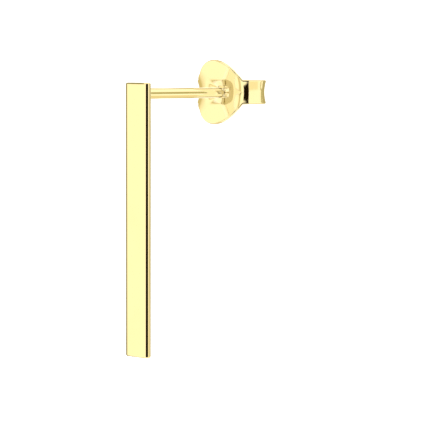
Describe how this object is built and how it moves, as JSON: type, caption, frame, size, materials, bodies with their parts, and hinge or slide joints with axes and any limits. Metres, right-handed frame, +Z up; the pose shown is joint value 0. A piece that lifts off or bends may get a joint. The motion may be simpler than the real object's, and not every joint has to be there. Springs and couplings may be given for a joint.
{
  "type": "bar stud earring with butterfly back",
  "caption": "Slim flat bar stud earring in gold plate, with an ear post near its top end and a sliding butterfly back.",
  "frame": {"origin": "centre of the bottom of the whole earring as it lies at rest on its side", "axes": "+X towards the bar's lower end, +Y back from the bar along the post, tipped up by the rest angle, +Z up"},
  "size_m": [0.0218, 0.0136, 0.0054],
  "materials": {
    "plated_bar": "polished yellow gold plate on silver",
    "plated_back": "bright stamped yellow gold plate on silver"
  },
  "bodies": {
    "earring": {"bar_and_post": "plated_bar"},
    "back": {"butterfly_back": "plated_back"}
  },
  "joints": [
    {"name": "back_slide", "type": "slide", "parent": "earring", "child": "back", "axis": [0, 0.9898, 0.1427], "range_m": [-0.0085, 0.006]}
  ]
}
